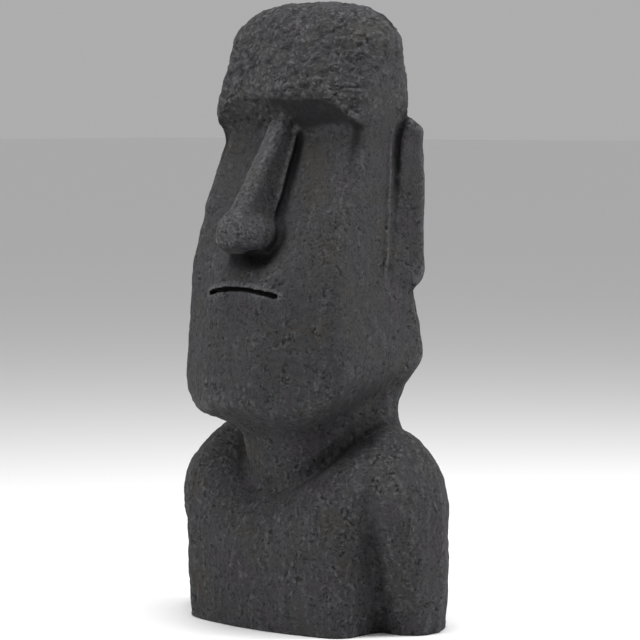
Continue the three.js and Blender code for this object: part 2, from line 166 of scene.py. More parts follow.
@dataclass(frozen=True)
class Face:
    """The front of the head: forehead, sockets, cheeks, chin and mouth."""

    brow_front: float = -0.081
    brow_curve: float = 1.72
    brow_lean: float = 0.30
    brow_height: float = 0.845
    brow_bottom: float = 0.755
    sweep_height: float = 0.88
    sweep_curve: float = 1.2
    socket_flat_half: float = 0.070
    socket_half: float = 0.160
    socket_springing: float = 0.737
    socket_rise: float = 0.117
    socket_roof_slope: float = 1.55
    socket_edge: float = 0.010
    cheek_front: float = -0.026
    cheek_height: float = 0.80
    cheek_slope: float = 0.43
    cheek_top: float = 0.90
    corner_front: Stations = ((0.36, -0.112), (0.56, -0.108), (0.66, -0.090), (0.80, -0.048))
    corner_slope: Stations = ((0.42, 0.55), (0.56, 0.42))
    corner_half: float = 0.150
    chin_front: float = -0.1535
    chin_height: float = 0.54
    chin_slope: float = 0.155
    chin_half: float = 0.047
    chin_side_slope: float = 0.60
    chin_edge: float = 0.010
    lip_front: float = -0.1545
    lip_height: float = 0.550
    lip_slope: float = 0.95
    lip_edge: float = 0.012
    slit_height: float = 0.5425
    slit_half: float = 0.071
    slit_drop: float = 0.0105
    slit_drop_half: float = 0.074
    slit_thickness: float = 0.0019
    slit_depth: float = 0.011
    upper_roll: float = 0.0012
    lower_roll: float = 0.0010
    lip_hollow: float = 0.0004
    roll_width: float = 0.008
    roll_offset: float = 0.009
    hollow_offset: float = 0.030
    lip_reach: float = 0.029
    lip_fading: float = 0.035
    lip_forward: Span = (0.07, 0.10)
    hollow_spread: float = 1.5
    brow_bottom_edge: float = 0.02
    corner_edge: float = 0.03
    cheek_top_edge: float = 0.02
    slit_back: float = -0.06
    slit_edge: float = 0.002

    def brow(self, x: Array, z: Array | float) -> Array:
        """Returns how far forward the forehead stands."""
        sweep = self.sweep_curve * np.maximum(z - self.sweep_height, 0) ** 2
        return self.brow_front + self.brow_curve * x * x + self.brow_lean * (z - self.brow_height) + sweep

    def forehead(self, x: Array, y: Array, z: Array) -> Array:
        """Returns the distance from the forehead, with the arch of the sockets cut in under it."""
        front = sloped(self.brow(x, z) - y, self.brow_lean, 2 * self.brow_curve * x)
        block = blend_max(front, self.brow_bottom - z, self.brow_bottom_edge)
        height = z + self.socket_roof_slope * (y - self.brow(x, self.brow_height))
        u = np.maximum(x - self.socket_flat_half, 0) / (self.socket_half - self.socket_flat_half)
        v = np.maximum(height - self.socket_springing, 0) / self.socket_rise
        arch = sloped((np.hypot(u, v) - 1) * self.socket_rise, self.socket_roof_slope)
        return blend_max(block, -arch, self.socket_edge)

    def chin(self, z: Array) -> Array:
        """Returns how far forward the upright front of the chin stands."""
        return self.chin_front - self.chin_slope * (self.chin_height - z)

    def cheek_skin(self, z: Array) -> Array:
        """Returns how far forward the slanting cheek stands."""
        return self.cheek_front - self.cheek_slope * (self.cheek_height - z)

    def cheeks(self, x: Array, y: Array, z: Array) -> Array:
        """Returns the distance from the slanting cheeks with their set-back corners."""
        slope = along(z, self.corner_slope)
        corner = along(z, self.corner_front) - slope * (self.corner_half - x)
        skin = sloped(self.cheek_skin(z) - y, self.cheek_slope)
        d = blend_max(skin, sloped(corner - y, slope), self.corner_edge)
        d = blend_max(d, sloped(self.chin(z) - y, self.chin_slope), self.chin_edge)
        return blend_max(d, z - self.cheek_top, self.cheek_top_edge)

    def muzzle(self, x: Array, y: Array, z: Array) -> Array:
        """Returns the distance from the block of chin and upper lip."""
        front = sloped(self.chin(z) - y, self.chin_slope)
        set_back = self.chin(z) + self.chin_side_slope * (x - self.chin_half)
        flank = sloped(set_back - y, self.chin_side_slope, self.chin_slope)
        lip = sloped(self.lip_front + self.lip_slope * (z - self.lip_height) - y, self.lip_slope)
        return blend_max(blend_max(front, flank, self.chin_edge), lip, self.lip_edge)

    def slit_line(self, x: Array) -> Array:
        """Returns the height of the line of the mouth."""
        return self.slit_height - self.slit_drop * (x / self.slit_drop_half) ** 2

    def lip_relief(self, x: Array, y: Array, z: Array) -> Array:
        """Returns how much the lips swell the skin, as a distance to add."""
        above = z - self.slit_line(x)
        near = ramp(self.slit_half + self.lip_reach - x, 0, self.lip_fading)
        near = near * ramp(-y, *self.lip_forward)
        upper = self.upper_roll * bell(above - self.roll_offset, self.roll_width)
        lower = self.lower_roll * bell(above + self.roll_offset, self.roll_width)
        hollow = self.lip_hollow * bell(above + self.hollow_offset, self.hollow_spread * self.roll_width)
        return near * (hollow - upper - lower)

    def cut_mouth(self, d: Array, x: Array, y: Array, z: Array) -> Array:
        """Returns the form with the slit of the mouth cut into its skin."""
        slit = np.hypot(z - self.slit_line(x), np.maximum(x - self.slit_half, 0)) - self.slit_thickness
        slit = np.maximum(np.maximum(slit, -(d + self.slit_depth)), y - self.slit_back)
        return blend_max(d, -slit, self.slit_edge)


@dataclass(frozen=True)
class Nose:
    """The long nose, with its bulb, wings, nostrils and the fold down its side."""

    root_front: float = -0.060
    root_height: float = 0.812
    slope: float = 0.68
    root_half: float = 0.018
    end_half: float = 0.017
    flare: float = 0.17
    tip: float = -0.178
    underside: float = 0.607
    rounding: float = 0.014
    bulb: Egg = Egg((0.0, -0.150, 0.630), (0.0325, 0.036, 0.034))
    wing: Egg = Egg((0.024, -0.122, 0.626), (0.022, 0.033, 0.024))
    nostril: Egg = Egg((0.020, -0.133, 0.598), (0.011, 0.017, 0.011))
    fold_x: float = 0.0245
    fold_spread: float = 0.004
    fold_forward: float = 0.012
    fold_radius: float = 0.0050
    fold_top: float = 0.812
    fold_bottom: float = 0.645
    fold_full: float = 0.70
    fold_fading: float = 0.02
    fold_spread_over: float = 0.13
    fold_least: float = 0.0001
    fold_edge: float = 0.01
    narrowing_over: float = 0.15
    side_slant: float = 1.2
    tip_edge: float = 0.02
    bulb_edge: float = 0.018
    wing_edge: float = 0.022
    nostril_edge: float = 0.006

    def form(self, x: Array, y: Array, z: Array) -> Array:
        """Returns the distance from the nose."""
        below = self.root_height - z
        ridge = self.root_front - self.slope * below
        half = self.root_half + (self.end_half - self.root_half) * ramp(below, 0, self.narrowing_over)
        side = (x - half - self.flare * (y - ridge)) / math.hypot(1, self.flare * self.side_slant)
        d = blend_max(sloped(ridge - y, self.slope), side, self.rounding)
        d = blend_max(d, self.tip - y, self.tip_edge)
        d = blend_max(d, self.underside - z, self.tip_edge)
        d = np.maximum(d, y)
        d = blend_min(d, self.bulb.distance(x, y, z), self.bulb_edge)
        d = blend_min(d, self.wing.distance(x, y, z), self.wing_edge)
        return blend_max(d, -self.nostril.distance(x, y, z), self.nostril_edge)

    def fold(self, x: Array, y: Array, z: Array, face: Face) -> Array:
        """Returns the distance from the fold that runs down the side of the nose."""
        lowered = np.clip((face.cheek_height - z) / self.fold_spread_over, 0, 1)
        middle = self.fold_x + self.fold_spread * lowered
        skin = face.cheek_skin(z) - self.fold_forward
        fading = ramp(z, self.fold_bottom, self.fold_full) * ramp(self.fold_top - z, 0, self.fold_fading)
        d = np.hypot(x - middle, sloped(y - skin, face.cheek_slope)) - self.fold_radius * fading
        return blend_max(d - self.fold_least, self.fold_bottom - z, self.fold_edge)


@dataclass(frozen=True)
class Ear:
    """A long plate that flares to the back, with a rim in front of it and a channel between them."""

    front: float = 0.047
    back: float = 0.104
    top: float = 0.822
    bottom: float = 0.520
    step: float = 0.0005
    flare: float = 0.35
    top_slope: float = 0.40
    top_rounding: float = 0.024
    bottom_rounding: float = 0.055
    crease_lean: float = 0.10
    lean_height: float = 0.67
    rim_y: float = 0.028
    rim_radius: float = 0.0046
    rim_top: float = 0.80
    rim_bottom: float = 0.54
    channel_y: float = 0.042
    channel_set: float = 0.006
    channel_radius: float = 0.009
    channel_top: float = 0.80
    channel_bottom: float = 0.545
    step_growth: float = 0.004
    step_heights: Span = (0.60, 0.76)
    plate_set: float = 0.003
    front_edge: float = 0.006
    back_edge: float = 0.018
    top_level_at: float = 0.06
    inner_side: float = 0.10
    inner_edge: float = 0.01
    rim_full: float = 0.60
    rim_fading: float = 0.05
    rim_sunk: float = 0.001
    rim_edge: float = 0.003
    channel_end_edge: float = 0.02
    channel_edge: float = 0.01

    def leaning(self, z: Array) -> Array:
        """Returns how far back the ear's crease leans at a height."""
        return self.crease_lean * (z - self.lean_height)

    def form(self, x: Array, y: Array, z: Array, wall: Array) -> Array:
        """Returns the distance from the ear's plate and rim.

        Args:
            x: Distance from the statue's middle.
            y: Depth, larger to the back.
            z: Height.
            wall: Half width of the head at that height.

        Returns:
            The distance, below 0 inside the ear.
        """
        lean = self.leaning(z)
        step = self.step + self.step_growth * ramp(z, *self.step_heights)
        d = sloped(x - wall - step - self.flare * (y - self.front - self.plate_set), self.flare)
        d = blend_max(d, self.front + lean - y, self.front_edge)
        d = blend_max(d, y - self.back, self.back_edge)
        top = sloped(z - self.top + self.top_slope * (y - self.top_level_at), self.top_slope)
        d = blend_max(d, top, self.top_rounding)
        d = blend_max(d, self.bottom - z, self.bottom_rounding)
        d = blend_max(d, self.inner_side - x, self.inner_edge)
        fading = ramp(z, self.rim_bottom, self.rim_full) * ramp(self.rim_top - z, 0, self.rim_fading)
        rim = np.hypot(x - wall + self.rim_sunk, y - self.rim_y - lean) - self.rim_radius * fading
        return blend_min(d, np.maximum(rim, self.rim_bottom - z), self.rim_edge)

    def channel(self, x: Array, y: Array, z: Array, wall: Array) -> Array:
        """Returns the distance from the channel between the rim and the plate."""
        d = np.hypot(x - wall - self.channel_set, y - self.channel_y - self.leaning(z))
        ends = blend_max(self.channel_bottom - z, z - self.channel_top, self.channel_end_edge)
        return blend_max(d - self.channel_radius, ends, self.channel_edge)


@dataclass(frozen=True)
class Head:
    """The head block: face, nose and ears between its sides, back, crown and jaw."""

    half_width: Stations = (
        (0.36, 0.162), (0.43, 0.170), (0.55, 0.160), (0.68, 0.158),
        (0.77, 0.154), (0.83, 0.166), (0.93, 0.157), (1.00, 0.152),
    )
    back: Stations = ((0.34, 0.106), (0.44, 0.118), (0.60, 0.112), (0.85, 0.110), (1.00, 0.106))
    back_rounding: Stations = ((0.42, 0.030), (0.56, 0.050), (0.80, 0.075))
    front_rounding: float = 0.030
    crown_height: float = 1.0105
    crown_to_sides: float = 0.42
    crown_to_back: float = 0.20
    crown_rounding: float = 0.072
    jaw_front: tuple[float, float] = (-0.178, 0.3520)
    jaw_front_normal: tuple[float, float] = (0.42, 0.907)
    jaw_side: tuple[float, float] = (0.161, 0.3964)
    jaw_side_normal: tuple[float, float] = (0.72, 0.694)
    jaw_side_rise: float = 0.19
    jaw_side_dip: float = 0.010
    jaw_back: tuple[float, float] = (0.114, 0.380)
    jaw_back_normal: tuple[float, float] = (0.87, 0.50)
    jaw_front_corner: float = 0.055
    jaw_back_corner: float = 0.025
    jaw_rounding: float = 0.022
    jaw_side_dip_over: float = 0.09
    brow_to_cheeks: float = 0.012
    cheeks_to_muzzle: float = 0.014
    fold_edge: float = 0.006
    nose_edge: float = 0.007
    channel_edge: float = 0.006
    ear_edge: float = 0.004
    face: Face = field(default_factory=Face)
    nose: Nose = field(default_factory=Nose)
    ear: Ear = field(default_factory=Ear)

    def jaw(self, x: Array, y: Array, z: Array) -> Array:
        """Returns the distance from the three planes of the jaw's underside."""
        dip = self.jaw_side_dip * ramp(y, 0, self.jaw_side_dip_over)
        edge = self.jaw_side[1] + self.jaw_side_rise * y - dip
        planes = (
            (self.jaw_front[0] - y, z - self.jaw_front[1], self.jaw_front_normal),
            (x - self.jaw_side[0], z - edge, self.jaw_side_normal),
            (y - self.jaw_back[0], z - self.jaw_back[1], self.jaw_back_normal),
        )
        front, side, back = (out * outward - down * above for outward, above, (out, down) in planes)
        return blend_max(blend_max(front, side, self.jaw_front_corner), back, self.jaw_back_corner)

    def form(self, x: Array, y: Array, z: Array) -> Array:
        """Returns the distance from the whole head."""
        wall = along(z, self.half_width)
        d = blend_min(self.face.forehead(x, y, z), self.face.cheeks(x, y, z), self.brow_to_cheeks)
        d = blend_min(d, self.face.muzzle(x, y, z), self.cheeks_to_muzzle)
        d = d + self.face.lip_relief(x, y, z)
        d = blend_max(d, x - wall, self.front_rounding)
        d = blend_max(d, y - along(z, self.back), along(z, self.back_rounding))
        crown = z - self.crown_height + self.crown_to_sides * x * x + self.crown_to_back * y
        d = blend_max(d, crown, self.crown_rounding)
        d = blend_max(d, self.jaw(x, y, z), self.jaw_rounding)
        d = blend_min(d, self.nose.fold(x, y, z, self.face), self.fold_edge)
        d = blend_min(d, self.nose.form(x, y, z), self.nose_edge)
        d = blend_max(d, -self.ear.channel(x, y, z, wall), self.channel_edge)
        d = blend_min(d, self.ear.form(x, y, z, wall), self.ear_edge)
        return self.face.cut_mouth(d, x, y, z)


@dataclass(frozen=True)
class Neck:
    """The neck: a flat front between slanting flanks."""

    front: float = -0.066
    height: float = 0.215
    lean: float = 0.32
    flat_half: float = 0.046
    flank_slope: float = 1.03
    half_width: float = 0.122
    spread: float = 0.22
    back: float = 0.103
    top: float = 0.48
    flank_edge: float = 0.020
    side_edge: float = 0.045
    back_edge: float = 0.055
    top_edge: float = 0.02

    def form(self, x: Array, y: Array, z: Array) -> Array:
        """Returns the distance from the neck."""
        front = self.front - self.lean * (z - self.height)
        flank = sloped(front + self.flank_slope * (x - self.flat_half) - y, self.lean, self.flank_slope)
        d = blend_max(sloped(front - y, self.lean), flank, self.flank_edge)
        side = sloped(x - self.half_width - self.spread * y, self.spread)
        d = blend_max(d, side, self.side_edge)
        d = blend_max(d, y - self.back, self.back_edge)
        return blend_max(d, z - self.top, self.top_edge)


@dataclass(frozen=True)
class Bust:
    """The bust: a bowed chest between set-back arms, with a collar hollow before the neck."""

    chest_front: float = -0.1265
    chest_bow: float = 0.55
    chest_half: float = 0.178
    chest_widening: float = 0.022
    chest_set_back: float = 0.012
    chest_corner: float = 0.030
    arm_front: float = -0.014
    arm_forward: float = 0.055
    arm_half: float = 0.250
    arm_taper: float = 0.45
    arm_taper_from: float = 0.055
    arm_corner: float = 0.045
    shoulder_x: float = 0.130
    shoulder_z: float = 0.343
    shoulder_top: float = 0.338
    shoulder_fall: float = 0.577
    shoulder_tilt: float = 0.22
    shoulder_rounding: float = 0.095
    back_y: float = 0.130
    back_lean: float = 0.22
    back_lean_from: float = 0.20
    back_corner: float = 0.055
    collar_z: float = 0.2105
    collar_y: float = -0.069
    collar_flat_half: float = 0.046
    collar_rise: float = 0.64
    collar_forward_fall: float = 0.45
    collar_back_rise: float = 1.24
    collar_back_from: float = -0.005
    collar_easing: float = 0.030
    collar_rounding: float = 0.050
    foot_height: float = 0.09
    foot_inset: float = 0.006
    foot_front_share: float = 0.5
    groove_edge: float = 0.012
    shoulder_tilt_to: float = 0.05
    shoulder_top_edge: float = 0.03
    chest_set_back_heights: Span = (0.12, 0.27)
    chest_widening_heights: Span = (0.10, 0.25)
    arm_forward_heights: Span = (0.0, 0.27)
    arm_front_taper: float = 0.15
    arm_front_taper_from: float = 0.02
    arm_slant: float = 1.05

    def form(self, x: Array, y: Array, z: Array) -> Array:
        """Returns the distance from the bust."""
        foot = self.foot_inset * (1 - ramp(z, 0, self.foot_height))
        leaning = self.back_lean * np.maximum(z - self.back_lean_from, 0)
        back = sloped(y - self.back_y + leaning, self.back_lean)
        d = blend_min(self.chest(x, y, z, foot, back), self.arm(x, y, z, foot, back), self.groove_edge)
        tilt = self.shoulder_tilt * np.minimum(y, self.shoulder_tilt_to)
        fall = self.shoulder_fall * (x - self.shoulder_x) - tilt
        top = sloped(z - self.shoulder_z + fall, self.shoulder_fall)
        top = blend_max(top, z - self.shoulder_top, self.shoulder_top_edge)
        d = blend_max(d, top, self.shoulder_rounding)
        risen = self.collar_rise * eased_over(x - self.collar_flat_half, self.collar_easing)
        risen += self.collar_back_rise * eased_over(y - self.collar_back_from, self.collar_easing)
        above = z - self.collar_z - self.collar_forward_fall * (y - self.collar_y) - risen
        above = sloped(above, self.collar_rise, self.collar_forward_fall)
        return blend_max(d, above, self.collar_rounding)

    def chest(self, x: Array, y: Array, z: Array, foot: Array, back: Array) -> Array:
        """Returns the distance from the chest, given the foot's inset and the distance from the back."""
        bow = np.hypot(x, y - self.chest_front - self.chest_bow) - self.chest_bow
        front = bow + self.chest_set_back * ramp(z, *self.chest_set_back_heights)
        front = front + self.foot_front_share * foot
        side = x - self.chest_half - self.chest_widening * ramp(z, *self.chest_widening_heights) + foot
        return blend_max(blend_max(front, side, self.chest_corner), back, self.back_corner)

    def arm(self, x: Array, y: Array, z: Array, foot: Array, back: Array) -> Array:
        """Returns the distance from the arm, given the foot's inset and the distance from the back."""
        front = self.arm_front - self.arm_forward * ramp(z, *self.arm_forward_heights) - y + foot
        narrowing = self.arm_taper * np.maximum(y - self.arm_taper_from, 0)
        narrowing = narrowing + self.arm_front_taper * np.maximum(self.arm_front_taper_from - y, 0)
        side = (x - self.arm_half + narrowing) / self.arm_slant + foot
        return blend_max(blend_max(front, side, self.arm_corner), back, self.back_corner)


@dataclass(frozen=True)
class Carving:
    """The whole statue, as the sum of head, neck and bust."""

    head: Head = field(default_factory=Head)
    neck: Neck = field(default_factory=Neck)
    bust: Bust = field(default_factory=Bust)
    neck_edge: float = 0.016
    bust_edge: float = 0.018

    def form(self, x: Array, y: Array, z: Array) -> Array:
        """Returns the distance from the statue, below 0 inside it."""
        side = np.abs(x)
        d = blend_min(self.head.form(side, y, z), self.neck.form(side, y, z), self.neck_edge)
        return blend_min(d, self.bust.form(side, y, z), self.bust_edge)


# Fine skin

@dataclass
class Skin:
    """A fine mesh over the carving, made of one vertex for each grid cell that the skin crosses."""

    carving: Carving = field(default_factory=Carving)
    cell: float = 0.0029
    half_width: float = 0.262
    front: float = -0.200
    back: float = 0.145
    top: float = 1.012

    def grid(self) -> tuple[list[Array], Array]:
        """Samples the carving on a grid that stands on the floor.

        Returns:
            The grid's coordinates along each axis, and the carving's distance at each grid point.
        """
        limits = ((-self.half_width, self.half_width), (self.front, self.back), (-self.cell, self.top))
        axes = [np.arange(low, high + self.cell, self.cell) for low, high in limits]
        distance = np.empty([len(axis) for axis in axes], np.float32)
        for k, z in enumerate(axes[Axis.HEIGHT.value]):
            x, y = np.meshgrid(axes[Axis.SIDE.value], axes[Axis.DEPTH.value], indexing="ij")
            distance[:, :, k] = self.carving.form(x, y, np.full_like(x, max(z, 0.0)))
        distance[:, :, 0] = np.maximum(distance[:, :, 0], 0.5 * self.cell)
        return axes, distance

    def crossings(self, axes: list[Array], distance: Array, total: Array, count: Array) -> list[Array]:
        """Adds up, for each cell, the points where the skin crosses its edges.

        Args:
            axes: The grid's coordinates along each axis.
            distance: The carving's distance at each grid point.
            total: Sum of the crossing points of each cell, filled in here.
            count: Number of crossings of each cell, filled in here.

        Returns:
            For each axis, which of the grid's edges along it are crossed.
        """
        found = []
        for axis in Axis:
            a = axis.value
            low = [slice(None)] * 3
            high = [slice(None)] * 3
            low[a], high[a] = slice(None, -1), slice(1, None)
            d0, d1 = distance[tuple(low)], distance[tuple(high)]
            crossed = (d0 < 0) != (d1 < 0)
            found.append(crossed)
            index = np.argwhere(crossed)
            share = d0[crossed] / (d0[crossed] - d1[crossed])
            points = np.stack([axes[b][index[:, b]] for b in range(3)], axis=1)
            points[:, a] += share * self.cell
            others = [b for b in range(3) if b != a]
            for du in (0, 1):
                for dv in (0, 1):
                    cells = index.copy()
                    cells[:, others[0]] -= du
                    cells[:, others[1]] -= dv
                    np.add.at(total, tuple(cells.T), points)
                    np.add.at(count, tuple(cells.T), 1)
        return found

    def quads(self, crossed: list[Array], distance: Array, number: Array) -> Array:
        """Lists the four cells round each crossed edge, turned so that faces point outwards.

        Args:
            crossed: For each axis, which of the grid's edges along it are crossed.
            distance: The carving's distance at each grid point.
            number: The vertex number of each cell.

        Returns:
            Four vertex numbers for each quad.
        """
        faces = []
        for axis in Axis:
            a = axis.value
            index = np.argwhere(crossed[a])
            u, v = (a + 1) % 3, (a + 2) % 3
            corners = []
            for du, dv in ((1, 1), (0, 1), (0, 0), (1, 0)):
                cells = index.copy()
                cells[:, u] -= du
                cells[:, v] -= dv
                corners.append(number[tuple(cells.T)])
            quad = np.stack(corners, axis=1)
            leaving = distance[tuple(index.T)] < 0
            quad[~leaving] = quad[~leaving][:, ::-1]
            faces.append(quad)
        return np.concatenate(faces)

    def build(self) -> tuple[Array, Array]:
        """Makes the skin, in shares of the height.

        Returns:
            The vertices and the quads.
        """
        axes, distance = self.grid()
        cells = [n - 1 for n in distance.shape]
        total = np.zeros([*cells, 3])
        count = np.zeros(cells, int)
        crossed = self.crossings(axes, distance, total, count)
        used = count > 0
        number = np.full(cells, -1)
        number[used] = np.arange(used.sum())
        points = total[used] / count[used][:, None]
        return points, self.quads(crossed, distance, number)


# Geometry Nodes and shader helpers

def add(
    tree: bpy.types.NodeTree, kind: str, settings: dict | None = None, **inputs: object
) -> bpy.types.Node:
    """Adds one node to a tree, with its settings and links.

    Args:
        tree: The node tree.
        kind: The node's type name.
        settings: Values for the node's own properties.
        **inputs: What goes into each input. A key is i and the socket's number, or the socket's name
            with underscores for spaces, and a value is an output socket or a constant.

    Returns:
        The new node.
    """
    node = tree.nodes.new(kind)
    for name, value in (settings or {}).items():
        setattr(node, name, value)
    for key, value in inputs.items():
        socket = node.inputs[int(key[1:])] if key[1:].isdigit() else node.inputs[key.replace("_", " ")]
        if isinstance(value, bpy.types.NodeSocket):
            tree.links.new(value, socket)
        else:
            socket.default_value = value
    return node


def linear(hex_colour: str) -> tuple[float, float, float, float]:
    """Turns an sRGB hex colour into a linear one.

    Args:
        hex_colour: Six hex digits.

    Returns:
        Red, green, blue and full opacity.
    """
    channels = [int(hex_colour[i:i + 2], 16) / 255 for i in (0, 2, 4)]
    curve = [c / 12.92 if c <= 0.04045 else ((c + 0.055) / 1.055) ** 2.4 for c in channels]
    return (*curve, 1.0)


def placed(name: str, data: bpy.types.ID) -> bpy.types.Object:
    """Makes an object and links it to the scene.

    Args:
        name: The object's name.
        data: Its mesh, light or camera.

    Returns:
        The object.
    """
    item = bpy.data.objects.new(name, data)
    bpy.context.scene.collection.objects.link(item)
    return item


@dataclass(frozen=True)
class Rise:
    """A smooth change from start to end as some value goes from low to high."""

    low: float
    high: float
    start: float = 0.0
    end: float = 1.0


@dataclass(frozen=True)
class Grain:
    """A noise, given by the size of its marks and its finer octaves.

    What shows of it is the change that it drives, and a steep change leaves ragged specks. A larger
    stretch packs the marks closer along that axis. A grain without a seed takes its tree's own.
    """

    size_mm: float
    detail: float
    seed: float | None = None
    shown: Rise | None = None
    stretch: Stretch = (1.0, 1.0, 1.0)
    deep_mm: float = 0.0


@dataclass(frozen=True)
class Patterns:
    """Sums and patterns that both the skin's tree and the finish's tree are drawn with."""

    tree: bpy.types.NodeTree
    place: Socket
    roughness: float = 0.58
    distortion: float = 0.7

    def maths(self, operation: str, *values: object) -> Socket:
        """Returns one operation worked over any number of values, from left to right."""
        result = values[0]
        for value in values[1:]:
            node = add(self.tree, "ShaderNodeMath", {"operation": operation}, i0=result, i1=value)
            result = node.outputs[0]
        return result

    def product(self, *values: object) -> Socket:
        """Returns the product of all values."""
        return self.maths("MULTIPLY", *values)

    def rise(self, value: Socket, change: Rise) -> Socket:
        """Returns the smooth change that a value drives."""
        settings = {"interpolation_type": "SMOOTHSTEP"}
        limits = {"From_Min": change.low, "From_Max": change.high}
        limits |= {"To_Min": change.start, "To_Max": change.end}
        return add(self.tree, "ShaderNodeMapRange", settings, Value=value, **limits).outputs[0]

    def noise(self, grain: Grain, size: Socket | None = None, seed: Socket | None = None) -> Socket:
        """Adds a noise of a real size.

        Args:
            grain: What the noise is like.
            size: Size of its marks in metres, where a tree's input gives it.
            seed: Its seed, where a tree's input gives it.

        Returns:
            The noise from 0 to 1, or the change that it drives.
        """
        stretched = add(
            self.tree, "ShaderNodeVectorMath", {"operation": "MULTIPLY"}, i0=self.place, i1=grain.stretch
        )
        scale = self.maths("DIVIDE", 1.0, size or grain.size_mm * MM)
        noise = add(
            self.tree, "ShaderNodeTexNoise", {"noise_dimensions": "4D"}, Vector=stretched.outputs[0],
            W=seed or grain.seed, Scale=scale, Detail=grain.detail, Roughness=self.roughness,
            Distortion=self.distortion,
        ).outputs[0]
        return self.rise(noise, grain.shown) if grain.shown else noise


# Where the marks of trowel and casting lie, for the skin's tree and the finish's tree alike
NEAR_SIDE = Rise(-0.03, 0.0, 0.2, 1.0)
RUBBED_SMOOTH = Rise(0.25, 0.85, 1.0, 0.35)


